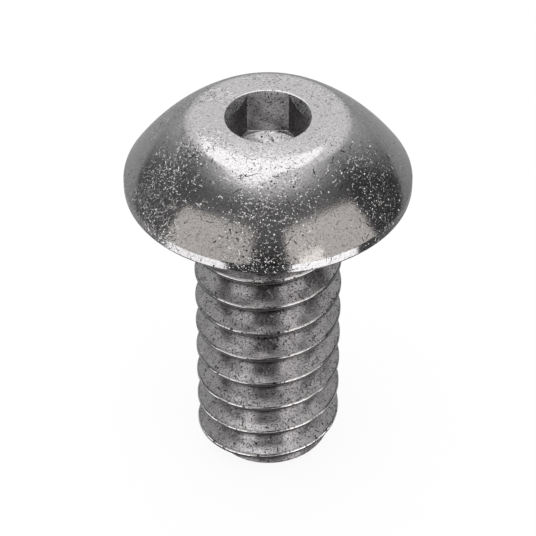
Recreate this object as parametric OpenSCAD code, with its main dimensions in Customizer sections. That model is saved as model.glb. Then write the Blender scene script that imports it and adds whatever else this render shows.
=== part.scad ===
// Button head socket cap screw, standing on its tip, head up.
// The axis is +Z and the origin is the centre of the flat at the tip. Sizes are in millimetres.

/* [Head] */
// Diameter over the rim of the head
head_d = 6.62; // [6.0:0.05:7.5]
// Height of the head above its bearing face
head_h = 1.88; // [1.6:0.02:2.4]
// Height of the straight side band at the rim
rim_h = 0.26; // [0.1:0.02:0.5]
// Diameter where the flat top and the dome would meet in a sharp corner
top_d = 3.5; // [3.0:0.05:4.2]
// Radius of the dome's arc in section
dome_r = 5.7; // [3.5:0.1:9]
// Radius that rounds the flat top into the dome
blend_r = 0.7; // [0.2:0.05:1.0]

/* [Socket] */
// Width of the hex socket across its flats
hex_af = 1.65; // [1.2:0.05:1.9]
// Depth of the straight hex walls below the flat top
hex_depth = 1.02; // [0.7:0.02:1.2]
// Diameter of the countersunk mouth at the flat top
mouth_d = 1.99; // [1.95:0.02:2.4]
// Full angle of the countersunk mouth
mouth_angle = 90; // [60:5:120]
// Diameter of the pilot drill whose point forms the floor
pilot_d = 1.6; // [0.9:0.05:1.65]
// Full angle of the drill point
drill_angle = 118; // [90:2:140]

/* [Shank] */
// Length from the bearing face of the head to the tip
shank_l = 7.8; // [5:0.1:20]
// Diameter of the plain neck under the head
neck_d = 3.505; // [3.5:0.005:3.9]
// Length of the plain neck
neck_l = 0.75; // [0.4:0.05:1.5]
// Radius of the fillet between the neck and the bearing face
neck_fillet = 0.1; // [0.02:0.01:0.25]

/* [Thread] */
// Diameter over the thread crests
thread_d = 3.485; // [3.2:0.005:3.495]
// Rise of the right-hand thread in one turn
pitch = 0.794; // [0.6:0.002:1.1]
// Full angle between the thread flanks
thread_angle = 60; // [50:1:75]
// Width of the flat along each crest
crest_w = 0.1; // [0.02:0.01:0.16]
// Width of the flat along the root of the groove
root_w = 0.13; // [0.06:0.01:0.25]
// Height of one crest above the tip on the -Y side
crest_z = 0.67; // [0:0.01:1.1]
// Length over which the groove runs out below the neck
runout_l = 0.5; // [0.2:0.05:1.5]
// Diameter of the flat at the tip
tip_d = 2.55; // [1.6:0.05:3.2]
// Slope of the tip's chamfer from the end face
chamfer_angle = 45; // [30:1:60]

/* [Hidden] */
$fn = 96;

steel = [0.60, 0.59, 0.57];
// How far a cutter stands past the face that it opens
past = 0.5;

// Head, as heights above the tip and radii in section
top_z = shank_l + head_h;
rim_z = shank_l + rim_h;
rim_r = head_d / 2;
neck_r = neck_d / 2;
neck_z = shank_l - neck_l;

// Centre of an arc of radius r from a to b that bulges to the left of the way from a to b
function arc_centre(a, b, r) =
    let (half = (b - a) / 2, off = sqrt(r * r - half * half))
    (a + b) / 2 + off * [half.y, -half.x] / norm(half);

dome_top = [top_d / 2, top_z];
dome_foot = [rim_r, rim_z];
dome_c = arc_centre(dome_top, dome_foot, dome_r);
// The blend touches the flat top from below and the dome from inside
blend_y = top_z - blend_r;
blend_c = [dome_c.x + sqrt((dome_r - blend_r) ^ 2 - (blend_y - dome_c.y) ^ 2), blend_y];
blend_top = [blend_c.x, top_z];
blend_dir = (blend_c - dome_c) / norm(blend_c - dome_c);
blend_foot = dome_c + dome_r * blend_dir;

// Socket
hex_r = hex_af / 2 / cos(30);
mouth_h = (mouth_d / 2 - pilot_d / 2) / tan(mouth_angle / 2);
drill_h = pilot_d / 2 / tan(drill_angle / 2);

// Thread section, in one pitch
thread_r = thread_d / 2;
flank_w = (pitch - crest_w - root_w) / 2;
groove_depth = flank_w / tan(thread_angle / 2);
// Steps in one turn of the thread's surface
turn_steps = 48;
// The threaded rod reaches this far into the neck
seat = 0.1;
rod_top = neck_z + seat;

// Bounded value
function bound(v, low, high) = max(low, min(high, v));

// Depth of the groove at a distance from the middle of the nearest crest
function groove(dist) = bound((dist - crest_w / 2) / tan(thread_angle / 2), 0, groove_depth);

// Radius of the threaded rod at a turn (in whole turns from -Y, towards +X) and a height
function rod_r(turn, z) =
    let (
        rise = (z - crest_z) / pitch - turn,
        dist = abs(rise - round(rise)) * pitch,
        fade = bound((neck_z - z) / runout_l, 0, 1)
    )
    min(thread_r - fade * groove(dist), tip_d / 2 + z / tan(chamfer_angle));

// Heights of the section's corners above a crest's middle, from its upper edge to the next crest
corner_rise = [
    crest_w / 2,
    crest_w / 2 + flank_w / 2,
    crest_w / 2 + flank_w,
    crest_w / 2 + flank_w + root_w,
    pitch - crest_w / 2 - flank_w / 2,
    pitch - crest_w / 2
];
corners = len(corner_rise);
// The lowest whole turn of corners starts below the tip at every step of the turn
first_turn = -ceil(crest_z / pitch) - 2;
turns = ceil(rod_top / pitch) + 4;
rows = turns * corners;

// Point of the rod's surface at a step of the turn and a row of corners, held between its two ends
function rod_point(step, row) =
    let (
        turn = step / turn_steps,
        lift = corner_rise[row % corners] + (first_turn + floor(row / corners) + turn) * pitch,
        z = bound(crest_z + lift, 0, rod_top),
        r = rod_r(turn, z)
    )
    [r * sin(360 * turn), -r * cos(360 * turn), z];

// Threaded rod with its chamfered tip, as one closed surface that follows the helix
module threaded_rod() {
    points = [for (step = [0:turn_steps - 1], row = [0:rows - 1]) rod_point(step, row)];
    // After a whole turn the rows meet those one pitch higher on the first step
    function at(step, row) =
        step < turn_steps ? step * rows + row : min(row + corners, rows - 1);
    function open(a, b) = points[a].z != points[b].z;
    sides = [for (step = [0:turn_steps - 1], row = [0:rows - 2])
        let (
            a = at(step, row),
            b = at(step + 1, row),
            c = at(step + 1, row + 1),
            d = at(step, row + 1)
        )
        each concat(open(b, c) ? [[a, c, b]] : [], open(a, d) ? [[a, d, c]] : [])
    ];
    tip = [for (step = [0:turn_steps - 1]) step * rows];
    seat_face = [for (step = [turn_steps - 1:-1:0]) step * rows + rows - 1];
    polyhedron(points, concat(sides, [tip, seat_face]));
}

// Half section of the head and the plain neck
module head_section() {
    polygon([
        [0, neck_z],
        [neck_r, neck_z],
        [neck_r, shank_l],
        [rim_r, shank_l],
        dome_foot,
        blend_foot,
        blend_c,
        blend_top,
        [0, top_z]
    ]);
    // Bulge of the dome outside its chord
    intersection() {
        translate(dome_c) circle(dome_r);
        polygon([blend_foot, dome_foot, dome_foot + past * blend_dir, blend_foot + past * blend_dir]);
    }
    // Rounding of the flat top's edge
    intersection() {
        translate(blend_c) circle(blend_r);
        polygon([
            blend_c,
            blend_c + 2 * blend_r * blend_dir,
            blend_c + 2 * blend_r * (blend_dir + [0, 1]),
            blend_c + [0, 2 * blend_r]
        ]);
    }
    // Fillet under the head
    difference() {
        translate([neck_r, shank_l - neck_fillet]) square(neck_fillet);
        translate([neck_r + neck_fillet, shank_l - neck_fillet]) circle(neck_fillet);
    }
}

// Hex socket with a countersunk mouth and a drilled floor
module socket() {
    translate([0, 0, top_z - hex_depth]) cylinder(r = hex_r, h = hex_depth + past, $fn = 6);
    translate([0, 0, top_z - mouth_h]) cylinder(d1 = pilot_d, d2 = mouth_d, h = mouth_h);
    translate([0, 0, top_z - hex_depth - drill_h]) cylinder(d1 = 0, d2 = pilot_d, h = drill_h);
}

// The whole screw, headed and threaded from one blank
module screw() {
    color(steel) {
        difference() {
            rotate_extrude() head_section();
            socket();
        }
        threaded_rod();
    }
}

screw();
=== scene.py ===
"""Looks of the button head socket cap screw: fine mesh, worn steel, the photo's camera and a studio."""

import logging
import math
from collections.abc import Callable
from dataclasses import dataclass, field, replace
from enum import Enum

import bpy
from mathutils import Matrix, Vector


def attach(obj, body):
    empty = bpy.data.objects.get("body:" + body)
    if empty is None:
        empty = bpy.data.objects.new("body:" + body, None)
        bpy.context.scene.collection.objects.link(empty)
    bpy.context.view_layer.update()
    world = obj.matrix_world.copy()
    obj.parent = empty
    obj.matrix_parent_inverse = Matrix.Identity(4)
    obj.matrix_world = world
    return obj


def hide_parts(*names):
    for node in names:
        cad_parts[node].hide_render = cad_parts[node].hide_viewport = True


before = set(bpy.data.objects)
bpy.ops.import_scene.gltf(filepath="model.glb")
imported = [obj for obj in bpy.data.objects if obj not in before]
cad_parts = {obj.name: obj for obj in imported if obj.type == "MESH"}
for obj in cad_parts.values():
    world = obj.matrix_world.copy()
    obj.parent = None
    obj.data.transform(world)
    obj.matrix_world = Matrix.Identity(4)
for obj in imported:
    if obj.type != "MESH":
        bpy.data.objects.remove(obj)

LOG = logging.getLogger("screw")
# The pieces are modelled in millimetres and brought to metres at the end
MM = 0.001
MICRON = 1e-6
# Points closer than this, in millimetres, are the same point
SAME_POINT = 1e-5
ORIGIN = (0.0, 0.0, 0.0)
# Reach of a rounding along each face, over its radius, where two faces turn by 45 degrees
REACH_45 = math.tan(math.radians(22.5))

# Radius and height of one ring of a turned piece, in millimetres
Ring = tuple[float, float]
# Short names of Blender's types
Piece = bpy.types.Object
Tree = bpy.types.NodeTree
Output = bpy.types.NodeSocket


class Combine(Enum):
    """How a tool acts on a piece."""

    ADD = "UNION"
    CUT = "DIFFERENCE"
    KEEP_INSIDE = "INTERSECT"


class Element(Enum):
    """What is selected on a mesh in edit mode, and where the mesh keeps it."""

    POINT = ("VERT", "vertices")
    EDGE = ("EDGE", "edges")


def start_clean() -> None:
    """Leaves edit mode with nothing selected, because the frame arrives selected."""
    if bpy.context.mode != "OBJECT":
        bpy.ops.object.mode_set(mode="OBJECT")
    bpy.ops.object.select_all(action="DESELECT")


def pick(piece: Piece) -> None:
    """Makes one piece the only selected and active object.

    Args:
        piece: Object to work on next.
    """
    start_clean()
    piece.select_set(True)
    bpy.context.view_layer.objects.active = piece


def select(piece: Piece, element: Element, wanted: Callable[..., bool]) -> None:
    """Enters edit mode with only the wanted points or edges of a piece selected.

    Args:
        piece: Mesh object.
        element: Kind of element to select.
        wanted: Says of one element whether it is selected.
    """
    mode, kept_in = element.value
    pick(piece)
    bpy.ops.object.mode_set(mode="EDIT")
    bpy.ops.mesh.select_mode(type=mode)
    bpy.ops.mesh.select_all(action="DESELECT")
    bpy.ops.object.mode_set(mode="OBJECT")
    for one in getattr(piece.data, kept_in):
        one.select = wanted(one)
    bpy.ops.object.mode_set(mode="EDIT")


def arc(centre: Ring, radius: float, start: float, end: float, steps: int) -> list[Ring]:
    """Points along an arc in the plane of radius and height.

    Args:
        centre: Centre of the arc.
        radius: Radius of the arc.
        start: Angle of the first point in degrees, from outwards towards up.
        end: Angle of the last point in degrees.
        steps: Number of stretches between the points.

    Returns:
        The points, both ends included.
    """
    angles = [math.radians(start + (end - start) * i / steps) for i in range(steps + 1)]
    return [(centre[0] + radius * math.cos(a), centre[1] + radius * math.sin(a)) for a in angles]


def crossing(first: Vector, first_r: float, second: Vector, second_r: float) -> Vector:
    """Outer of the two points in which two circles cross.

    Args:
        first: Centre of the first circle.
        first_r: Radius of the first circle.
        second: Centre of the second circle.
        second_r: Radius of the second circle.

    Returns:
        The crossing that lies further from the axis.
    """
    way = second - first
    along = (first_r**2 - second_r**2 + way.length_squared) / 2 / way.length
    aside = math.sqrt(first_r**2 - along**2)
    way.normalize()
    middle = first + way * along
    across = Vector((-way.y, way.x)) * aside
    return max(middle + across, middle - across, key=lambda point: point.x)


def face_outward() -> None:
    """Turns all faces of the piece in edit mode outward and leaves edit mode."""
    bpy.ops.mesh.select_all(action="SELECT")
    bpy.ops.mesh.normals_make_consistent(inside=False)
    bpy.ops.object.mode_set(mode="OBJECT")


def turn(name: str, outline: list[Ring], sides: int) -> Piece:
    """Turns a closed solid: a disc is extruded ring by ring along an outline.

    Args:
        name: Name of the new object.
        outline: Rings from the bottom disc to the top one.
        sides: Number of points round each ring.

    Returns:
        The turned solid.
    """
    start_clean()
    radius, height = outline[0]
    bpy.ops.mesh.primitive_circle_add(vertices=sides, radius=radius, fill_type="NGON", location=ORIGIN)
    piece = bpy.context.active_object
    piece.name = name
    bpy.ops.object.mode_set(mode="EDIT")
    bpy.ops.mesh.select_all(action="SELECT")
    bpy.ops.transform.translate(value=(0, 0, height))
    for next_radius, next_height in outline[1:]:
        bpy.ops.mesh.extrude_region_move(TRANSFORM_OT_translate={"value": (0, 0, next_height - height)})
        scale = next_radius / radius
        bpy.ops.transform.resize(value=(scale, scale, 1), center_override=ORIGIN)
        radius, height = next_radius, next_height
    face_outward()
    return piece


def combine(piece: Piece, tool: Piece, how: Combine) -> None:
    """Applies a tool to a piece and removes the tool.

    Args:
        piece: Object that is changed.
        tool: Closed object that changes it.
        how: What the tool does to the piece.
    """
    pick(piece)
    bpy.ops.object.modifier_add(type="BOOLEAN")
    modifier = piece.modifiers[-1]
    modifier.operation = how.value
    modifier.solver = "EXACT"
    modifier.object = tool
    bpy.ops.object.modifier_apply(modifier=modifier.name)
    bpy.data.objects.remove(tool, do_unlink=True)


@dataclass
class Head:
    """Low domed head with a flat top and a countersunk mouth, and the plain neck and run-out below it."""

    base_z: float = 7.8
    height: float = 1.88
    rim_r: float = 3.31
    rim_h: float = 0.26
    top_r: float = 1.75
    dome_r: float = 5.7
    blend_r: float = 0.7
    # Slight crown of the top, which brightens towards the viewer
    crown_r: float = 30.0
    mouth_r: float = 0.995
    mouth_foot_r: float = 0.75
    # Worn rounding of the mouth's edge, which draws a bright line round the socket
    mouth_round: float = 0.05
    corner_round: float = 0.1
    edge_round: float = 0.05
    # Rings this far past a rounding keep the shading of the flat beside it flat
    hold: float = 0.008
    neck_r: float = 1.7525
    neck_l: float = 0.75
    fillet: float = 0.1
    run_out: float = 0.5
    run_out_r: float = 1.2
    sides: int = 224
    # Stretches in which each arc of the outline is drawn
    fillet_steps: int = 6
    edge_steps: int = 4
    corner_steps: int = 6
    dome_steps: int = 20
    blend_steps: int = 12
    crown_steps: int = 4
    mouth_steps: int = 6

    def outline(self) -> list[Ring]:
        """Works out the rings of the head from the run-out up to the socket's mouth.

        Returns:
            The rings, from bottom to top and then down into the mouth.
        """
        top_z = self.base_z + self.height
        rim_z = self.base_z + self.rim_h
        neck_z = self.base_z - self.neck_l
        # Mouth: rounded over from the top into a 45 degree cone
        mouth = Vector((self.mouth_r + self.mouth_round * REACH_45, top_z - self.mouth_round))
        # Crown: very flat arc that is highest at the mouth
        crown = Vector((0, top_z - math.sqrt(self.crown_r**2 - mouth.x**2)))
        top_corner = Vector((self.top_r, crown.y + math.sqrt(self.crown_r**2 - self.top_r**2)))
        # Dome: arc through the top's corner and the rim's corner, centred beyond the axis
        half = (Vector((self.rim_r, rim_z)) - top_corner) / 2
        reach = math.sqrt(self.dome_r**2 - half.length_squared)
        dome = top_corner + half + reach * Vector((half.y, -half.x)) / half.length
        # Blend: touches the crown and the dome from inside
        blend = crossing(dome, self.dome_r - self.blend_r, crown, self.crown_r - self.blend_r)
        blend_deg = math.degrees(math.atan2(blend.y - dome.y, blend.x - dome.x))
        crown_deg = math.degrees(math.atan2(blend.y - crown.y, blend.x - crown.x))
        mouth_deg = math.degrees(math.atan2(top_z - crown.y, mouth.x))
        # Worn corner between the dome and the side band: touches both from inside
        corner_r = self.rim_r - self.corner_round
        inner_r = self.dome_r - self.corner_round
        corner = Vector((corner_r, dome.y + math.sqrt(inner_r**2 - (corner_r - dome.x) ** 2)))
        corner_deg = math.degrees(math.atan2(corner.y - dome.y, corner.x - dome.x))
        fillet = (self.neck_r + self.fillet, self.base_z - self.fillet)
        edge = (self.rim_r - self.edge_round, self.base_z + self.edge_round)
        return [
            (self.run_out_r, neck_z - self.run_out),
            (self.neck_r, neck_z),
            *arc(fillet, self.fillet, 180, 90, self.fillet_steps),
            (self.neck_r + self.fillet + self.hold, self.base_z),
            (self.rim_r - self.edge_round - self.hold, self.base_z),
            *arc(edge, self.edge_round, -90, 0, self.edge_steps),
            (self.rim_r, self.base_z + self.edge_round + self.hold),
            (self.rim_r, corner.y - self.hold),
            *arc(tuple(corner), self.corner_round, 0, corner_deg, self.corner_steps),
            *arc(tuple(dome), self.dome_r, corner_deg, blend_deg, self.dome_steps)[1:],
            *arc(tuple(blend), self.blend_r, blend_deg, crown_deg, self.blend_steps)[1:],
            *arc(tuple(crown), self.crown_r, crown_deg, mouth_deg, self.crown_steps)[1:],
            *arc(tuple(mouth), self.mouth_round, 90, 135, self.mouth_steps)[1:],
            (self.mouth_foot_r, top_z - (self.mouth_r - self.mouth_foot_r)),
        ]

    def build(self) -> Piece:
        """Turns the head and neck as one closed solid."""
        return turn("worn_screw", self.outline(), self.sides)


@dataclass
class Thread:
    """Right-hand 60 degree thread with a chamfered tip."""

    crest_r: float = 1.7425
    pitch: float = 0.794
    crest_w: float = 0.1
    root_w: float = 0.13
    flank_deg: float = 30.0
    # Height of one crest's middle above the tip on the side that faces the viewer
    crest_z: float = 0.67
    top_z: float = 7.15
    tip_r: float = 1.275
    crest_round: float = 0.032
    root_round: float = 0.05
    tip_round: float = 0.03
    # Points this far past a rounding keep the shading of the flank beside it flat
    hold: float = 0.012
    # Stretches in which each rounding is drawn
    crest_segments: int = 2
    root_segments: int = 3
    tip_steps: int = 3
    # Stretches in one turn of the helix
    steps: int = 144
    # Whole turns swept below the tip, which are then cut off
    spare_turns: int = 2
    # Points of neighbouring turns that are closer than this are joined
    seam: float = 1e-4
    tip_sides: int = 144

    def section(self) -> Piece:
        """Draws one pitch of the thread's outline on the side that faces the viewer.

        Returns:
            A line of edges from the middle of one crest to the middle of the next.
        """
        flank_w = (self.pitch - self.crest_w - self.root_w) / 2
        depth = flank_w / math.tan(math.radians(self.flank_deg))
        flank_l = math.hypot(flank_w, depth)
        outer = (self.crest_round + self.hold) / flank_l
        inner = (self.root_round + self.hold) / flank_l
        shares = (outer, 1 - outer - inner, inner)
        moves = [
            (0, 0, self.crest_w / 2),
            *((0, depth * share, flank_w * share) for share in shares),
            (0, 0, self.root_w),
            *((0, -depth * share, flank_w * share) for share in reversed(shares)),
            (0, 0, self.crest_w / 2),
        ]
        start_clean()
        bpy.ops.mesh.primitive_plane_add(size=self.pitch, location=ORIGIN)
        line = bpy.context.active_object
        line.name = "thread"
        bpy.ops.object.mode_set(mode="EDIT")
        bpy.ops.mesh.select_all(action="SELECT")
        # A plane merged to its middle is a single point to draw from
        bpy.ops.mesh.merge(type="CENTER")
        below = self.crest_z - self.spare_turns * self.pitch
        bpy.ops.transform.translate(value=(0, -self.crest_r, below))
        for move in moves:
            bpy.ops.mesh.extrude_region_move(TRANSFORM_OT_translate={"value": move})
        ends = (below + SAME_POINT, below + self.pitch - SAME_POINT)
        crest_y = SAME_POINT - self.crest_r
        root_y = depth - self.crest_r - SAME_POINT
        select(line, Element.POINT, lambda v: v.co.y < crest_y and ends[0] < v.co.z < ends[1])
        bpy.ops.mesh.bevel(offset=self.crest_round, segments=self.crest_segments, affect="VERTICES")
        select(line, Element.POINT, lambda v: v.co.y > root_y)
        bpy.ops.mesh.bevel(offset=self.root_round, segments=self.root_segments, affect="VERTICES")
        bpy.ops.object.mode_set(mode="OBJECT")
        return line

    def build(self) -> Piece:
        """Sweeps the section up its helix, trims both ends flat and chamfers the tip.

        Returns:
            The threaded rod as a closed solid.
        """
        rod = self.section()
        turns = math.ceil(self.top_z / self.pitch) + 2 * self.spare_turns
        pick(rod)
        bpy.ops.object.modifier_add(type="SCREW")
        sweep = rod.modifiers[-1]
        sweep.axis = "Z"
        sweep.screw_offset = self.pitch
        sweep.iterations = turns
        sweep.steps = sweep.render_steps = self.steps
        bpy.ops.object.modifier_apply(modifier=sweep.name)
        bpy.ops.object.mode_set(mode="EDIT")
        bpy.ops.mesh.select_all(action="SELECT")
        bpy.ops.mesh.remove_doubles(threshold=self.seam)
        for height, up in ((self.top_z, 1), (0.0, -1)):
            bpy.ops.mesh.select_all(action="SELECT")
            bpy.ops.mesh.bisect(
                plane_co=(0, 0, height), plane_no=(0, 0, up), use_fill=True, clear_outer=True
            )
        face_outward()
        combine(rod, self.tip_envelope(), Combine.KEEP_INSIDE)
        return rod

    def tip_envelope(self) -> Piece:
        """Turns the bar with a 45 degree chamfer that the thread is kept inside.

        Returns:
            The bar as a closed solid.
        """
        bar_r = self.crest_r + self.pitch
        round_r = self.tip_r - self.tip_round * REACH_45
        rings = [
            *arc((round_r, self.tip_round), self.tip_round, -90, -45, self.tip_steps),
            (bar_r, bar_r - self.tip_r),
            (bar_r, self.top_z + self.pitch),
        ]
        return turn("tip_envelope", rings, self.tip_sides)


@dataclass
class Socket:
    """Hex socket: a drilled pilot hole, broached to a hexagon."""

    top_z: float = 9.68
    across_flats: float = 1.65
    depth: float = 1.02
    pilot_r: float = 0.8
    drill_deg: float = 118.0
    # Radius of the drill's blunt tip
    tip_r: float = 0.02
    # Worn radius in the six corners and along the foot of the walls
    corner_round: float = 0.025
    corner_segments: int = 3
    # How far the tools stand above the flat top
    stand: float = 0.5
    drill_sides: int = 128

    def broach(self) -> Piece:
        """Makes the hexagonal tool, with rounded corners.

        Returns:
            A closed six-sided solid with corners on the X axis.
        """
        start_clean()
        length = self.depth + self.stand
        # Half the angle of one flat, which also turns a flat to the viewer
        half_flat = math.radians(30)
        bpy.ops.mesh.primitive_cylinder_add(
            vertices=6,
            radius=self.across_flats / 2 / math.cos(half_flat),
            depth=length,
            location=(0, 0, self.top_z + self.stand - length / 2),
            rotation=(0, 0, half_flat),
        )
        tool = bpy.context.active_object
        tool.name = "broach"
        bpy.ops.object.transform_apply(location=True, rotation=True, scale=True)
        foot = self.top_z - self.depth + SAME_POINT
        points = tool.data.vertices
        select(tool, Element.EDGE, lambda edge: any(points[i].co.z < foot for i in edge.vertices))
        bpy.ops.mesh.bevel(offset=self.corner_round, segments=self.corner_segments, affect="EDGES")
        bpy.ops.object.mode_set(mode="OBJECT")
        return tool

    def drill(self) -> Piece:
        """Turns the pilot drill, with its point.

        Returns:
            The drill as a closed solid.
        """
        foot = self.top_z - self.depth
        point = self.pilot_r / math.tan(math.radians(self.drill_deg / 2))
        rings = [
            (self.tip_r, foot - point * (1 - self.tip_r / self.pilot_r)),
            (self.pilot_r, foot),
            (self.pilot_r, self.top_z + self.stand),
        ]
        return turn("drill", rings, self.drill_sides)

    def cut(self, piece: Piece) -> None:
        """Drills and broaches the socket in a piece."""
        combine(piece, self.drill(), Combine.CUT)
        combine(piece, self.broach(), Combine.CUT)


def linear(colour: str) -> tuple[float, float, float, float]:
    """Turns an sRGB hex colour to linear light.

    Args:
        colour: Colour as #RRGGBB.

    Returns:
        Red, green, blue and alpha.
    """
    parts = [int(colour[i : i + 2], 16) / 255 for i in (1, 3, 5)]
    levels = [c / 12.92 if c <= 0.04045 else ((c + 0.055) / 1.055) ** 2.4 for c in parts]
    return (levels[0], levels[1], levels[2], 1.0)


def per_metre(size_mm: float) -> float:
    """Scale of a pattern on metre coordinates whose cell is a given size in millimetres."""
    return 1 / (size_mm * MM)


def node(tree: Tree, kind: str, inputs: dict | None = None, **settings: object) -> bpy.types.Node:
    """Adds a node, sets it up and links its inputs.

    Args:
        tree: Node tree to add to.
        kind: Blender's name for the kind of node.
        inputs: Value or output socket for each input, by its name or number.
        settings: Properties of the node.

    Returns:
        The new node.
    """
    made = tree.nodes.new(kind)
    for key, value in settings.items():
        setattr(made, key, value)
    for key, value in (inputs or {}).items():
        if isinstance(value, Output):
            tree.links.new(value, made.inputs[key])
        else:
            made.inputs[key].default_value = value
    return made


def new_material(name: str) -> tuple[bpy.types.Material, Tree]:
    """Adds a material with an empty node tree.

    Args:
        name: Name of the material.

    Returns:
        The material and its node tree.
    """
    material = bpy.data.materials.new(name)
    material.use_nodes = True
    material.node_tree.nodes.clear()
    return material, material.node_tree


class Nick(Enum):
    """Outline of a nick in worn steel."""

    SPOT = "spot"
    HAIR = "hair"


@dataclass(frozen=True)
class Marks:
    """Small nicks of one kind in worn steel."""

    nick: Nick
    # Spacing of the nicks, and radius of the largest spot or half the length of a hair, in millimetres
    cell: float
    radius: float
    # How far the floor of a nick leans from the steel round it, as a slope
    lean: float
    # Share of the places that have a nick, where the steel is sound and where it is worn
    sound: float
    worn: float
    # How much dark oxide the nicks hold
    soil: float
    # Width of a hair in millimetres
    width: float = 0.024
    # How unsteady the outline is
    sway: float = 1.0
    # Way to the side of the screw that has the nicks, or None for all round
    side: tuple[float, float, float] | None = None


# Real nicks are mostly finer than a pixel. These are drawn a pixel or two wide, so that they show.
# Pits and specks glint as bright points in dark reflections and are dark points in bright ones
PITS = Marks(Nick.SPOT, cell=0.07, radius=0.029, lean=0.65, sound=0.08, worn=0.85, soil=0.1)
SPECKS = Marks(Nick.SPOT, cell=0.043, radius=0.019, lean=0.7, sound=0.12, worn=0.95, soil=0.05)
# Hair scratches hold oxide and stay dark, and the light ones only glint
HAIRS = Marks(Nick.HAIR, cell=0.15, radius=0.085, lean=0.75, sound=0.5, worn=0.6, soil=0.5)
LIGHT_HAIRS = Marks(
    Nick.HAIR, cell=0.12, radius=0.1, lean=0.6, sound=0.05, worn=0.2, soil=0.0, width=0.02
)
# Longer dark scratches on the side that faces the viewer
SCRATCHES = Marks(
    Nick.HAIR,
    cell=0.42,
    radius=0.17,
    lean=0.4,
    sound=0.55,
    worn=0.55,
    soil=0.75,
    width=0.022,
    sway=0.4,
    side=(0, -1, 0),
)
# Tangle of bright scuffs on the left of the dome
SCUFFS = Marks(
    Nick.HAIR,
    cell=0.085,
    radius=0.075,
    lean=0.55,
    sound=0.0,
    worn=0.8,
    soil=0.0,
    width=0.025,
    side=(-1, 0, 0),
)


class Way(Enum):
    """What a painted shade follows, the distance from the axis or the height, by the weights of X, Y and Z.
    """

    RADIUS = (1, 1, 0)
    HEIGHT = (0, 0, 1)


@dataclass(frozen=True)
class PaintedShade:
    """Painted shade: a sheltered place darkened towards the oxide's colour, where shade falls."""

    way: Way
    # Where the painted shade starts and where it is full, in millimetres
    start: float
    full: float
    soil: float


# Levels of the patches' noise at which the steel is sound and at which it is fully worn
WORN_SPAN = (0.4, 0.65)
# Levels of the grain's noise at the top and at the bottom of a hollow
HOLLOW_SPAN = (0.55, 0.3)
# Levels that a noise mostly stays between, and the roughness there as a share of the stated one
NOISE_SPAN = (0.3, 0.7)
GLOSS_SPAN = (0.85, 1.25)
# Octaves of each noise, and how much the finer ones count
PATCH_DETAIL = 3.0
GRAIN_DETAIL = 2.0
SWAY_DETAIL = 1.0
FINE_SHARE = 0.6
# Distances from the axis, in millimetres, at which the nicks of one side start and are full
SIDE_SPAN = (0.5, 1.5)
# Smallest spot and level floor of a spot, and the part of a hair that has its full width, as shares
SMALL_SPOT = 0.5
SPOT_FLOOR = 0.65
FULL_HAIR = 0.6
# Middle of the random colours, whose parts run from 0 to 1
RANDOM_MIDDLE = (0.5, 0.5, 0.5)


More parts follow.
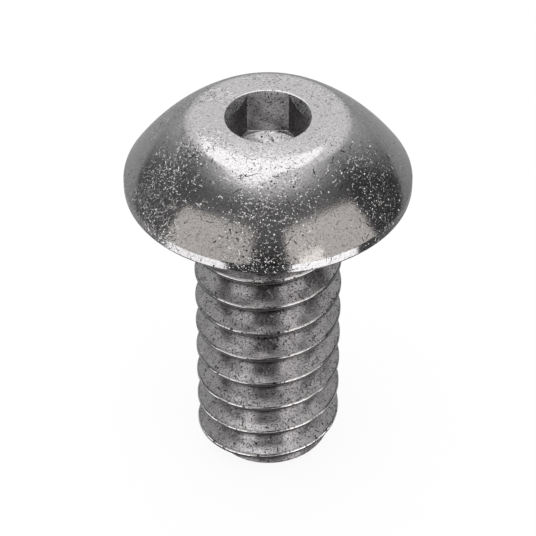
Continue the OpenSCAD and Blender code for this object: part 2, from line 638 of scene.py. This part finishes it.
@dataclass(frozen=True)
class WornSteel:
    """Bare steel, cold-headed, tumbled and worn: satin gloss broken by fine nicks and hair scratches."""

    name: str
    colour: str = "#C6C4C5"
    oxide: str = "#3D3B3C"
    roughness: float = 0.115
    # Width of the worn patches, in millimetres
    patch: float = 1.4
    # Oxide film in the worn patches
    stain: float = 0.0
    marks: tuple[Marks, ...] = (PITS, SPECKS, HAIRS)
    # Width of the satin grain in millimetres, its depth in micrometres and the oxide in its hollows.
    # The real grain is too fine to show, so it is drawn about two pixels wide
    grain: float = 0.045
    grain_depth: float = 0.35
    grain_soil: float = 0.3
    # Number of worn patches round the axis, which tumbling leaves on the dome, and how much they show
    patches: int = 6
    patch_share: float = 0.0
    # Painted shade in sheltered places, darkening the colour towards the oxide
    painted_shades: tuple[PaintedShade, ...] = ()

    def build(self) -> bpy.types.Material:
        """Builds the material's nodes.

        Returns:
            The new material.
        """
        material, tree = new_material(self.name)
        place = node(tree, "ShaderNodeTexCoord").outputs["Object"]
        patch = node(
            tree,
            "ShaderNodeTexNoise",
            {
                "Vector": place,
                "Scale": per_metre(self.patch),
                "Detail": PATCH_DETAIL,
                "Roughness": FINE_SHARE,
            },
        ).outputs["Fac"]
        apart = node(tree, "ShaderNodeSeparateXYZ", {"Vector": place}).outputs
        angle = node(tree, "ShaderNodeMath", {0: apart["X"], 1: apart["Y"]}, operation="ARCTAN2").outputs[0]
        turns = node(tree, "ShaderNodeMath", {0: angle, 1: self.patches}, operation="MULTIPLY").outputs[0]
        wave = node(tree, "ShaderNodeMath", {0: turns}, operation="COSINE").outputs[0]
        spread = node(
            tree, "ShaderNodeMath", {0: wave, 1: self.patch_share, 2: patch}, operation="MULTIPLY_ADD"
        ).outputs[0]
        worn = node(
            tree,
            "ShaderNodeMapRange",
            {"Value": spread, "From Min": WORN_SPAN[0], "From Max": WORN_SPAN[1]},
            interpolation_type="SMOOTHSTEP",
        ).outputs["Result"]
        grain = node(
            tree,
            "ShaderNodeTexNoise",
            {
                "Vector": place,
                "Scale": per_metre(self.grain),
                "Detail": GRAIN_DETAIL,
                "Roughness": FINE_SHARE,
            },
        ).outputs["Fac"]
        hollow = node(
            tree,
            "ShaderNodeMapRange",
            {"Value": grain, "From Min": HOLLOW_SPAN[0], "From Max": HOLLOW_SPAN[1]},
        ).outputs["Result"]
        normal = node(
            tree,
            "ShaderNodeBump",
            {"Height": hollow, "Strength": 1.0, "Distance": self.grain_depth * MICRON},
            invert=True,
        ).outputs["Normal"]
        film = node(tree, "ShaderNodeMath", {0: worn, 1: self.stain}, operation="MULTIPLY").outputs[0]
        soil = node(
            tree, "ShaderNodeMath", {0: hollow, 1: self.grain_soil, 2: film}, operation="MULTIPLY_ADD"
        ).outputs[0]
        # Painted shade: sheltered places are darkened towards the oxide's colour
        for painted_shade in self.painted_shades:
            soil = self.paint_shade(tree, place, painted_shade, soil)
        for marks in self.marks:
            drawn, cells = self.scatter(tree, place, worn, marks)
            random = node(
                tree, "ShaderNodeTexWhiteNoise", {"Vector": cells.outputs["Position"]}
            ).outputs["Color"]
            lean = node(
                tree,
                "ShaderNodeVectorMath",
                {0: random, 1: (2 * marks.lean,) * 3, 2: (-marks.lean,) * 3},
                operation="MULTIPLY_ADD",
            ).outputs[0]
            normal = node(
                tree, "ShaderNodeVectorMath", {0: lean, 1: drawn, 2: normal}, operation="MULTIPLY_ADD"
            ).outputs[0]
            soil = node(
                tree,
                "ShaderNodeMath",
                {0: drawn, 1: marks.soil, 2: soil},
                operation="MULTIPLY_ADD",
                use_clamp=True,
            ).outputs[0]
        facing = node(tree, "ShaderNodeVectorMath", {0: normal}, operation="NORMALIZE").outputs[0]
        colour = node(
            tree,
            "ShaderNodeMix",
            {"Factor": soil, 6: linear(self.colour), 7: linear(self.oxide)},
            data_type="RGBA",
        ).outputs[2]
        gloss = node(
            tree,
            "ShaderNodeMapRange",
            {
                "Value": patch,
                "From Min": NOISE_SPAN[0],
                "From Max": NOISE_SPAN[1],
                "To Min": self.roughness * GLOSS_SPAN[0],
                "To Max": self.roughness * GLOSS_SPAN[1],
            },
        ).outputs["Result"]
        shader = node(
            tree,
            "ShaderNodeBsdfPrincipled",
            {"Base Color": colour, "Metallic": 1.0, "Roughness": gloss, "Normal": facing},
        ).outputs["BSDF"]
        node(tree, "ShaderNodeOutputMaterial", {"Surface": shader})
        return material

    def paint_shade(self, tree: Tree, place: Output, painted_shade: PaintedShade, soil: Output) -> Output:
        """Adds painted shade to a sheltered place, darkening it towards the oxide's colour.

        Args:
            tree: Node tree of the material.
            place: Coordinates in metres.
            painted_shade: Where the shade is painted.
            soil: Oxide and painted shade so far.

        Returns:
            The darkening, with the painted shade of this place added.
        """
        part = node(
            tree, "ShaderNodeVectorMath", {0: place, 1: painted_shade.way.value}, operation="MULTIPLY"
        ).outputs[0]
        distance = node(tree, "ShaderNodeVectorMath", {0: part}, operation="LENGTH").outputs["Value"]
        shade_level = node(
            tree,
            "ShaderNodeMapRange",
            {
                "Value": distance,
                "From Min": painted_shade.start * MM,
                "From Max": painted_shade.full * MM,
                "To Max": painted_shade.soil,
            },
        ).outputs["Result"]
        return node(
            tree, "ShaderNodeMath", {0: soil, 1: shade_level}, operation="ADD", use_clamp=True
        ).outputs[0]

    def scatter(
        self, tree: Tree, place: Output, worn: Output, marks: Marks
    ) -> tuple[Output, bpy.types.Node]:
        """Scatters nicks, more of them where the steel is worn.

        Args:
            tree: Node tree of the material.
            place: Coordinates in metres.
            worn: Share of wear at a place.
            marks: Kind of nick.

        Returns:
            The nicks, from 0 to 1, and the node of the cells that they lie in.
        """
        sway = node(
            tree,
            "ShaderNodeTexNoise",
            {"Vector": place, "Scale": per_metre(marks.radius), "Detail": SWAY_DETAIL},
        ).outputs["Color"]
        shaken = node(
            tree,
            "ShaderNodeVectorMath",
            {0: sway, 1: (marks.sway * marks.radius * MM,) * 3, 2: place},
            operation="MULTIPLY_ADD",
        ).outputs[0]
        cells = node(tree, "ShaderNodeTexVoronoi", {"Vector": shaken, "Scale": per_metre(marks.cell)})
        chance = node(tree, "ShaderNodeSeparateColor", {"Color": cells.outputs["Color"]}).outputs[0]
        limit = node(
            tree, "ShaderNodeMapRange", {"Value": worn, "To Min": marks.sound, "To Max": marks.worn}
        ).outputs["Result"]
        if marks.side:
            limit = self.one_side(tree, place, marks.side, limit)
        present = node(tree, "ShaderNodeMath", {0: chance, 1: limit}, operation="LESS_THAN").outputs[0]
        if marks.nick is Nick.SPOT:
            outline = self.spots(tree, cells, marks)
        else:
            outline = self.lines(tree, shaken, cells, marks)
        drawn = node(tree, "ShaderNodeMath", {0: outline, 1: present}, operation="MULTIPLY").outputs[0]
        return drawn, cells

    def one_side(
        self, tree: Tree, place: Output, side: tuple[float, float, float], limit: Output
    ) -> Output:
        """Keeps nicks to one side of the screw.

        Args:
            tree: Node tree of the material.
            place: Coordinates in metres.
            side: Way from the axis to the side that has the nicks.
            limit: Share of the places that have a nick.

        Returns:
            That share on the one side, and none on the other.
        """
        along = node(
            tree, "ShaderNodeVectorMath", {0: place, 1: side}, operation="DOT_PRODUCT"
        ).outputs["Value"]
        share = node(
            tree,
            "ShaderNodeMapRange",
            {"Value": along, "From Min": SIDE_SPAN[0] * MM, "From Max": SIDE_SPAN[1] * MM},
        ).outputs["Result"]
        return node(tree, "ShaderNodeMath", {0: limit, 1: share}, operation="MULTIPLY").outputs[0]

    def spots(self, tree: Tree, cells: bpy.types.Node, marks: Marks) -> Output:
        """Draws a spot of uneven outline and chance size in each cell.

        Args:
            tree: Node tree of the material.
            cells: Node of the cells.
            marks: Kind of nick.

        Returns:
            The spots, from 0 to 1.
        """
        size = node(tree, "ShaderNodeSeparateColor", {"Color": cells.outputs["Color"]}).outputs[1]
        share = marks.radius / marks.cell
        reach = node(
            tree, "ShaderNodeMapRange", {"Value": size, "To Min": SMALL_SPOT * share, "To Max": share}
        ).outputs["Result"]
        outward = node(
            tree, "ShaderNodeMath", {0: cells.outputs["Distance"], 1: reach}, operation="DIVIDE"
        ).outputs[0]
        return node(
            tree,
            "ShaderNodeMapRange",
            {"Value": outward, "From Min": 1.0, "From Max": SPOT_FLOOR},
            interpolation_type="SMOOTHSTEP",
        ).outputs["Result"]

    def lines(self, tree: Tree, shaken: Output, cells: bpy.types.Node, marks: Marks) -> Output:
        """Draws a short curved line in each cell, where the steel's surface meets a thin bent disc.

        Args:
            tree: Node tree of the material.
            shaken: Shaken coordinates in metres.
            cells: Node of the cells.
            marks: Kind of nick.

        Returns:
            The lines, from 0 to 1.
        """
        middle = cells.outputs["Position"]
        offset = node(tree, "ShaderNodeVectorMath", {0: shaken, 1: middle}, operation="SUBTRACT").outputs[0]
        random = node(tree, "ShaderNodeTexWhiteNoise", {"Vector": middle}).outputs["Color"]
        facing = node(
            tree, "ShaderNodeVectorMath", {0: random, 1: RANDOM_MIDDLE}, operation="SUBTRACT"
        ).outputs[0]
        normal = node(tree, "ShaderNodeVectorMath", {0: facing}, operation="NORMALIZE").outputs[0]
        across = node(
            tree, "ShaderNodeVectorMath", {0: offset, 1: normal}, operation="DOT_PRODUCT"
        ).outputs["Value"]
        side = node(tree, "ShaderNodeMath", {0: across}, operation="ABSOLUTE").outputs[0]
        line = node(
            tree,
            "ShaderNodeMapRange",
            {"Value": side, "From Min": marks.width / 2 * MM, "From Max": 0.0},
            interpolation_type="SMOOTHSTEP",
        ).outputs["Result"]
        share = marks.radius / marks.cell
        ends = node(
            tree,
            "ShaderNodeMapRange",
            {"Value": cells.outputs["Distance"], "From Min": share, "From Max": FULL_HAIR * share},
        ).outputs["Result"]
        return node(tree, "ShaderNodeMath", {0: line, 1: ends}, operation="MULTIPLY").outputs[0]


class Zone(Enum):
    """Part of the screw that has a finish of its own, by its material's number."""

    HEAD = 0
    THREAD = 1
    SOCKET = 2
    MOUTH = 3
    # The edge, crest and underside finishes are painted shade, painted highlight and painted sheen
    EDGE = 4
    CREST = 5
    UNDERSIDE = 6


@dataclass
class Screw:
    """The whole screw, made as one solid from its head, thread and socket."""

    head: Head = field(default_factory=Head)
    thread: Thread = field(default_factory=Thread)
    socket: Socket = field(default_factory=Socket)
    smooth_deg: float = 28.0
    # Upward part of a face's normal at which one finish gives way to the next
    underside_up: float = -0.6
    flank_up: float = 0.8
    crest_up: float = 0.1
    edge_up: float = -0.1
    wall_up: float = 0.5
    mouth_up: float = 0.75

    def build(self) -> Piece:
        """Joins the head and thread, cuts the socket and brings the mesh to metres.

        Returns:
            The finished screw.
        """
        piece = self.head.build()
        combine(piece, self.thread.build(), Combine.ADD)
        self.socket.cut(piece)
        pick(piece)
        bpy.ops.object.mode_set(mode="EDIT")
        bpy.ops.mesh.select_all(action="SELECT")
        bpy.ops.mesh.remove_doubles(threshold=SAME_POINT)
        bpy.ops.mesh.normals_make_consistent(inside=False)
        bpy.ops.transform.resize(value=(MM, MM, MM), center_override=ORIGIN)
        bpy.ops.object.mode_set(mode="OBJECT")
        bpy.ops.object.shade_smooth_by_angle(angle=math.radians(self.smooth_deg))
        return piece

    def zone(self, face: bpy.types.MeshPolygon) -> Zone:
        """Tells which finish a face of the finished screw has.

        Args:
            face: Face of the mesh in metres.

        Returns:
            The face's zone.
        """
        middle = face.center / MM
        radius = math.hypot(middle.x, middle.y)
        if middle.z < self.head.base_z - self.head.neck_l:
            # Faces that look down get the palest steel, a painted sheen
            if face.normal.z < self.underside_up:
                return Zone.UNDERSIDE
            crest_start = self.thread.crest_r - self.thread.crest_round
            if radius < crest_start or face.normal.z > self.flank_up:
                return Zone.THREAD
            # Crest faces that look up get the painted highlight, those that look down the painted shade
            # line
            return Zone.CREST if face.normal.z > self.crest_up else Zone.EDGE
        # Faces at the rim's edge that look down get the painted shade line under the rim
        if radius > self.head.rim_r - self.head.edge_round and face.normal.z < self.edge_up:
            return Zone.EDGE
        inside = radius < self.head.mouth_r
        floor_z = self.socket.top_z - self.socket.depth + self.socket.corner_round
        if inside and (face.normal.z < self.wall_up or middle.z < floor_z):
            return Zone.SOCKET
        return Zone.MOUTH if inside and face.normal.z < self.mouth_up else Zone.HEAD

    def dress(self, piece: Piece) -> None:
        """Gives the screw its finishes and its place in the frame.

        Args:
            piece: The finished screw.
        """
        finishes = {
            # Cold-headed and tumbled: a satin mirror of the studio, broken by glints and dark scratches
            Zone.HEAD: WornSteel(
                "tumbled_steel_head",
                patch_share=0.14,
                grain_soil=0.4,
                marks=(
                    SCUFFS,
                    replace(SCUFFS, cell=0.11, radius=0.1),
                    replace(SCUFFS, cell=0.17, radius=0.16, width=0.02, sway=0.7),
                    PITS,
                    SPECKS,
                    LIGHT_HAIRS,
                    HAIRS,
                    SCRATCHES,
                ),
            ),
            # Rolled: greyer and duller than the head, with painted shade darkening the root and the part
            # just under the neck
            Zone.THREAD: WornSteel(
                "rolled_steel_thread",
                colour="#AAA8A9",
                roughness=0.18,
                patch=0.6,
                stain=0.18,
                marks=(
                    replace(SCUFFS, sound=0.3, worn=0.7, soil=0.2, side=None),
                    replace(PITS, lean=0.7, sound=0.4, worn=0.8, soil=0.4),
                    replace(SPECKS, lean=0.9, sound=0.5, worn=0.95, soil=0.3),
                    HAIRS,
                ),
                grain=0.03,
                grain_depth=0.5,
                grain_soil=0.5,
                # Painted shade: darker towards the root where the crest above shades it, and just under the
                # head
                painted_shades=(
                    PaintedShade(Way.RADIUS, start=1.37, full=1.26, soil=0.8),
                    PaintedShade(Way.HEIGHT, start=6.2, full=6.4, soil=0.6),
                ),
            ),
            # Broached: matt walls with stains, torn by the tool, that mirror nothing sharply
            Zone.SOCKET: WornSteel(
                "broached_steel_socket",
                roughness=0.29,
                patch=0.4,
                stain=0.35,
                marks=(
                    replace(PITS, sound=0.4, worn=0.8, soil=0.3),
                    replace(SPECKS, lean=0.9, sound=0.5, worn=0.95, soil=0.3),
                    HAIRS,
                ),
            ),
            # Countersunk: matt and full of dark pits, so that its edge to the socket is lost in places
            Zone.MOUTH: WornSteel(
                "countersunk_steel_mouth",
                colour="#A6A4A5",
                roughness=0.3,
                marks=(
                    replace(PITS, lean=0.9, sound=0.8, worn=0.95, soil=0.95),
                    replace(SPECKS, lean=1.1, sound=0.6, worn=0.9, soil=0.3),
                    HAIRS,
                ),
                grain_soil=0.8,
            ),
            # Painted shade: the faces under the rim and the crests that look down are near black, drawing
            # thin shadow lines
            Zone.EDGE: WornSteel("painted_shade_edge", colour="#383637", roughness=0.3, marks=(PITS,)),
            # Crests: paler steel as a painted highlight, drawing pale lines along the thread, with large
            # dark pits
            Zone.CREST: WornSteel(
                "painted_highlight_crest",
                colour="#D2D0D1",
                roughness=0.18,
                marks=(
                    replace(PITS, cell=0.12, radius=0.06, lean=0.7, sound=0.35, worn=0.7, soil=0.7),
                    replace(SPECKS, lean=0.9, sound=0.5, worn=0.95, soil=0.5),
                    HAIRS,
                ),
            ),
            # Lower flanks: the palest steel, a painted sheen that brightens the flanks which mirror them;
            # it mirrors the table
            Zone.UNDERSIDE: WornSteel("painted_sheen_underside", colour="#DCDADB", roughness=0.18),
        }
        piece.data.materials.clear()
        for zone in Zone:
            piece.data.materials.append(finishes[zone].build())
        for face in piece.data.polygons:
            face.material_index = self.zone(face).value
        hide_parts("screw")
        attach(piece, "root")


@dataclass
class PhotoCamera:
    """Camera at the photograph's viewing angle."""

    # Height of the point on the axis that it looks at
    target_mm: float = 5.22
    distance_mm: float = 55.46
    elevation_deg: float = 40.027
    lens_mm: float = 157.25
    sensor_mm: float = 36.0
    # Nearest distance that is drawn
    near_mm: float = 1.0

    def build(self) -> Piece:
        """Adds the camera and makes it the scene's own.

        Returns:
            The camera.
        """
        data = bpy.data.cameras.new("photo_camera")
        data.lens = self.lens_mm
        data.sensor_width = self.sensor_mm
        data.clip_start = self.near_mm * MM
        camera = bpy.data.objects.new("photo_camera", data)
        bpy.context.scene.collection.objects.link(camera)
        rise = math.radians(self.elevation_deg)
        back = Vector((0, -math.cos(rise), math.sin(rise)))
        camera.location = Vector((0, 0, self.target_mm * MM)) + back * self.distance_mm * MM
        camera.rotation_euler = back.to_track_quat("Z", "Y").to_euler()
        bpy.context.scene.camera = camera
        return camera


class LampShape(Enum):
    """Outline of a soft lamp."""

    PANEL = "RECTANGLE"
    OVAL = "ELLIPSE"


@dataclass(frozen=True)
class SoftLamp:
    """Evenly glowing panel that faces a point, in metres."""

    name: str
    shape: LampShape
    place: tuple[float, float, float]
    aim: tuple[float, float, float]
    width: float
    height: float
    glow: float
    colour: str = "#FFFFFF"

    def build(self) -> Piece:
        """Adds the lamp.

        Returns:
            The lamp, whose surface has the stated glow, where 1 is white.
        """
        data = bpy.data.lights.new(self.name, "AREA")
        data.shape = self.shape.value
        data.size = self.width
        data.size_y = self.height
        data.color = linear(self.colour)[:3]
        area = self.width * self.height
        if self.shape is LampShape.OVAL:
            area *= math.pi / 4
        data.energy = self.glow * area * math.pi
        lamp = bpy.data.objects.new(self.name, data)
        bpy.context.scene.collection.objects.link(lamp)
        lamp.location = self.place
        away = Vector(self.place) - Vector(self.aim)
        lamp.rotation_euler = away.to_track_quat("Z", "Y").to_euler()
        lamp.visible_camera = False
        return lamp


@dataclass(frozen=True)
class Card:
    """Sheet that lies on the table and widens away from the screw, in millimetres."""

    name: str
    # Direction from the screw, from the camera's side towards the right
    turn_deg: float
    near: float
    near_w: float
    far: float
    far_w: float
    glow: float
    # Height above the table
    lift: float = 0.02


@dataclass(frozen=True)
class Fade:
    """Change of a cloth's glow along a slope that is seen from the screw."""

    # Weights of the ways right, back and up, which are then divided by the distance from the axis
    right: float
    back: float
    up: float
    # Slopes at which the glow starts and stops to change, and the glow at both
    start: float
    stop: float
    low: float
    high: float


class Fill(Enum):
    """What is made of a circle."""

    DISC = "NGON"
    EDGE = "NOTHING"


@dataclass
class Studio:
    """White table and surroundings, soft lamps, and cloth and cards that show only in the metal."""

    # Width of the table, in metres
    floor_size: float = 3.0
    floor_paper: str = "#F4F4F4"
    # Share of the table's white that is its own, beside the light that falls on it
    floor_white: float = 0.88
    # Strength of the surroundings as a light, and as the eye and the metal see them
    world_light: float = 0.9
    world_white: float = 1.0
    # Radius of the mat and the curtain, in metres, and the points round every round sheet
    cloth_r: float = 0.7
    sheet_sides: int = 96
    # Rise of the curtain's top as seen from the screw, as height over distance
    cloth_rise: float = 3.08
    curtain_fades: tuple[Fade, ...] = (
        Fade(right=0.0, back=1.5, up=1.0, start=0.75, stop=1.95, low=0.015, high=1.0),
        Fade(right=0.0, back=0.6, up=1.0, start=0.55, stop=1.65, low=0.015, high=1.0),
        Fade(right=0.0, back=0.0, up=1.0, start=0.35, stop=1.0, low=0.015, high=0.165),
        Fade(right=-1.0, back=0.0, up=0.0, start=0.3, stop=1.0, low=0.015, high=0.125),
        Fade(right=1.0, back=0.0, up=0.0, start=0.3, stop=1.0, low=0.015, high=0.06),
    )
    mat_fades: tuple[Fade, ...] = (
        Fade(right=-0.2, back=1.0, up=0.0, start=-0.7, stop=1.0, low=0.06, high=0.42),
    )
    # Pale pool of light round the foot of the screw, which only the thread shows, and the shadow under it
    pool_r_mm: float = 8.0
    pool_glow: float = 0.65
    shade_r_mm: float = 1.9
    shade_glow: float = 0.5
    # Heights above the table, in millimetres, which keep the sheets apart
    mat_z: float = 0.01
    pool_z: float = 0.015
    shade_z: float = 0.035
    cards: tuple[Card, ...] = (
        Card("left_card", turn_deg=-53.5, near=2.5, near_w=4.0, far=80, far_w=57, glow=1.6),
        Card("right_card", turn_deg=41, near=3.0, near_w=4.0, far=80, far_w=66, glow=1.8),
        Card("left_near", turn_deg=-55, near=2.5, near_w=4.0, far=9.0, far_w=10, glow=2.4, lift=0.025),
        Card("right_near", turn_deg=45, near=2.5, near_w=4.0, far=9.0, far_w=10, glow=3.1, lift=0.025),
        Card("dark_strip", turn_deg=8, near=1.5, near_w=2.2, far=9.0, far_w=4.0, glow=0.9, lift=0.03),
        Card("left_strip", turn_deg=-62, near=4, near_w=1.5, far=11.5, far_w=3, glow=0.05, lift=0.03),
        Card("right_strip", turn_deg=62, near=4, near_w=1.5, far=11.5, far_w=3, glow=0.05, lift=0.03),
    )
    lamps: tuple[SoftLamp, ...] = (
        SoftLamp(
            "overhead",
            LampShape.OVAL,
            (-0.055, 0.105, 0.35),
            (-0.055, 0.105, 0),
            width=0.41,
            height=0.54,
            glow=0.765,
        ),
        SoftLamp(
            "left_panel",
            LampShape.PANEL,
            (-0.276, -0.194, 0.14),
            (0.193, 0.689, 0.14),
            width=0.46,
            height=0.28,
            glow=0.64,
            colour="#FFFAF4",
        ),
        SoftLamp(
            "right_panel",
            LampShape.PANEL,
            (0.272, -0.181, 0.14),
            (-0.273, 0.658, 0.14),
            width=0.46,
            height=0.28,
            glow=0.69,
            colour="#FFFAF4",
        ),
        SoftLamp(
            "right_end",
            LampShape.PANEL,
            (0.159, -0.254, 0.075),
            (0, 0, 0.01),
            width=0.1,
            height=0.18,
            glow=0.76,
            colour="#FFFAF4",
        ),
    )

    def build(self) -> None:
        """Adds the floor, the cloth, the cards, the surroundings and the lamps."""
        self.floor()
        self.mat()
        self.curtain()
        self.disc("pale_pool", self.pool_r_mm, self.pool_z, self.pool_glow)
        self.disc("foot_shade", self.shade_r_mm, self.shade_z, self.shade_glow)
        for card in self.cards:
            self.card(card)
        self.surroundings()
        for lamp in self.lamps:
            lamp.build()

    def seen_directly(self, tree: Tree) -> Output:
        """Tells what is seen from what only lights other things.

        Args:
            tree: Node tree of a material or of the world.

        Returns:
            1 for the camera and for what shows in metal or through glass, 0 for light on other things.
        """
        path = node(tree, "ShaderNodeLightPath").outputs
        mirrored = node(
            tree,
            "ShaderNodeMath",
            {0: path["Is Glossy Ray"], 1: path["Is Transmission Ray"]},
            operation="MAXIMUM",
        ).outputs[0]
        return node(
            tree, "ShaderNodeMath", {0: path["Is Camera Ray"], 1: mirrored}, operation="MAXIMUM"
        ).outputs[0]

    def floor(self) -> Piece:
        """Adds the white table, which keeps a faint shadow.

        Returns:
            The table.
        """
        start_clean()
        bpy.ops.mesh.primitive_plane_add(size=self.floor_size, location=ORIGIN)
        floor = bpy.context.active_object
        floor.name = "floor"
        material, tree = new_material("white_table")
        paper = node(tree, "ShaderNodeBsdfDiffuse", {"Color": linear(self.floor_paper)}).outputs[0]
        glow = node(tree, "ShaderNodeEmission", {"Strength": 1.0}).outputs[0]
        share = node(
            tree,
            "ShaderNodeMath",
            {0: self.seen_directly(tree), 1: self.floor_white},
            operation="MULTIPLY",
        ).outputs[0]
        mixed = node(tree, "ShaderNodeMixShader", {0: share, 1: paper, 2: glow}).outputs[0]
        node(tree, "ShaderNodeOutputMaterial", {"Surface": mixed})
        floor.data.materials.append(material)
        return floor

    def only_in_metal(self, sheet: Piece) -> None:
        """Hides a sheet from the eye and from the table, so that it shows only in the metal.

        Args:
            sheet: Sheet of the studio.
        """
        sheet.visible_camera = False
        sheet.visible_diffuse = False
        sheet.visible_shadow = False

    def cloth(self, name: str, fades: tuple[Fade, ...]) -> bpy.types.Material:
        """Builds the dim cloth, as bright at each place as the brightest of its fades.

        Args:
            name: Name of the material.
            fades: Changes of glow across the cloth.

        Returns:
            The new material.
        """
        material, tree = new_material(name)
        place = node(tree, "ShaderNodeTexCoord").outputs["Object"]
        level_place = node(
            tree, "ShaderNodeVectorMath", {0: place, 1: (1, 1, 0)}, operation="MULTIPLY"
        ).outputs[0]
        distance = node(
            tree, "ShaderNodeVectorMath", {0: level_place}, operation="LENGTH"
        ).outputs["Value"]
        level = 0.0
        for fade in fades:
            along = node(
                tree,
                "ShaderNodeVectorMath",
                {0: place, 1: (fade.right, fade.back, fade.up)},
                operation="DOT_PRODUCT",
            ).outputs["Value"]
            slope = node(tree, "ShaderNodeMath", {0: along, 1: distance}, operation="DIVIDE").outputs[0]
            glow = node(
                tree,
                "ShaderNodeMapRange",
                {
                    "Value": slope,
                    "From Min": fade.start,
                    "From Max": fade.stop,
                    "To Min": fade.low,
                    "To Max": fade.high,
                },
                interpolation_type="SMOOTHSTEP",
            ).outputs["Result"]
            level = node(tree, "ShaderNodeMath", {0: glow, 1: level}, operation="MAXIMUM").outputs[0]
        shine = node(tree, "ShaderNodeEmission", {"Strength": level}).outputs[0]
        node(tree, "ShaderNodeOutputMaterial", {"Surface": shine})
        return material

    def round_sheet(self, name: str, radius: float, height_mm: float, fill: Fill) -> Piece:
        """Adds a round sheet above the table.

        Args:
            name: Name of the sheet.
            radius: Radius in metres.
            height_mm: Height above the table in millimetres.
            fill: Whether it is a whole disc or only its edge.

        Returns:
            The sheet, without a material.
        """
        start_clean()
        bpy.ops.mesh.primitive_circle_add(
            vertices=self.sheet_sides,
            radius=radius,
            fill_type=fill.value,
            location=(0, 0, height_mm * MM),
        )
        sheet = bpy.context.active_object
        sheet.name = name
        bpy.ops.object.transform_apply(location=True, rotation=True, scale=True)
        return sheet

    def mat(self) -> Piece:
        """Lays the dim mat round the screw, darkest in front of it.

        Returns:
            The mat.
        """
        mat = self.round_sheet("dim_mat", self.cloth_r, self.mat_z, Fill.DISC)
        mat.data.materials.append(self.cloth("dim_mat", self.mat_fades))
        self.only_in_metal(mat)
        return mat

    def curtain(self) -> Piece:
        """Hangs the round curtain, brighter towards the far side and the top.

        Returns:
            The curtain.
        """
        curtain = self.round_sheet("dim_curtain", self.cloth_r, self.mat_z, Fill.EDGE)
        select(curtain, Element.EDGE, lambda edge: True)
        bpy.ops.mesh.extrude_edges_move(
            TRANSFORM_OT_translate={"value": (0, 0, self.cloth_rise * self.cloth_r)}
        )
        bpy.ops.object.mode_set(mode="OBJECT")
        curtain.data.materials.append(self.cloth("dim_curtain", self.curtain_fades))
        self.only_in_metal(curtain)
        return curtain

    def plain_glow(self, name: str, glow: float) -> bpy.types.Material:
        """Builds the material of an evenly glowing sheet.

        Args:
            name: Name of the material.
            glow: Glow of the sheet, where 1 is white.

        Returns:
            The new material.
        """
        material, tree = new_material(name)
        shine = node(tree, "ShaderNodeEmission", {"Strength": glow}).outputs[0]
        node(tree, "ShaderNodeOutputMaterial", {"Surface": shine})
        return material

    def disc(self, name: str, radius_mm: float, height_mm: float, glow: float) -> Piece:
        """Lays a round sheet under the screw.

        Args:
            name: Name of the sheet.
            radius_mm: Radius in millimetres.
            height_mm: Height above the table in millimetres.
            glow: Glow of the sheet, where 1 is white.

        Returns:
            The sheet.
        """
        sheet = self.round_sheet(name, radius_mm * MM, height_mm, Fill.DISC)
        sheet.data.materials.append(self.plain_glow(name, glow))
        self.only_in_metal(sheet)
        return sheet

    def card(self, card: Card) -> Piece:
        """Lays a card or strip on the mat, which shows in the rim and in the thread's lower flanks.

        Args:
            card: Place, size and glow of the card.

        Returns:
            The card.
        """
        start_clean()
        bpy.ops.mesh.primitive_plane_add(size=MM, location=ORIGIN)
        sheet = bpy.context.active_object
        sheet.name = card.name
        bpy.ops.transform.resize(value=(card.near_w, card.far - card.near, 1))
        bpy.ops.object.transform_apply(location=True, rotation=True, scale=True)
        select(sheet, Element.POINT, lambda point: point.co.y < 0)
        bpy.ops.transform.resize(value=(card.far_w / card.near_w, 1, 1))
        bpy.ops.mesh.select_all(action="SELECT")
        bpy.ops.transform.translate(value=(0, -(card.near + card.far) / 2 * MM, card.lift * MM))
        turned = -math.radians(card.turn_deg)
        bpy.ops.transform.rotate(value=turned, orient_axis="Z", center_override=ORIGIN)
        bpy.ops.object.mode_set(mode="OBJECT")
        sheet.data.materials.append(self.plain_glow(card.name, card.glow))
        self.only_in_metal(sheet)
        return sheet

    def surroundings(self) -> None:
        """Makes the world white to the eye and in the metal, and dim as a light."""
        world = bpy.data.worlds.new("surroundings")
        bpy.context.scene.world = world
        world.use_nodes = True
        tree = world.node_tree
        tree.nodes.clear()
        level = node(
            tree,
            "ShaderNodeMapRange",
            {"Value": self.seen_directly(tree), "To Min": self.world_light, "To Max": self.world_white},
        ).outputs["Result"]
        glow = node(
            tree, "ShaderNodeBackground", {"Color": linear("#FFFFFF"), "Strength": level}
        ).outputs[0]
        node(tree, "ShaderNodeOutputWorld", {"Surface": glow})


def main() -> None:
    """Builds the screw, the camera and the studio."""
    logging.basicConfig(level=logging.INFO, format="%(name)s: %(message)s")
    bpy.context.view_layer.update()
    bpy.context.scene.view_settings.view_transform = "Standard"
    screw = Screw()
    piece = screw.build()
    screw.dress(piece)
    LOG.info("screw: %d faces", len(piece.data.polygons))
    PhotoCamera().build()
    Studio().build()
    LOG.info("camera and studio in place")


if __name__ == "__main__":
    main()
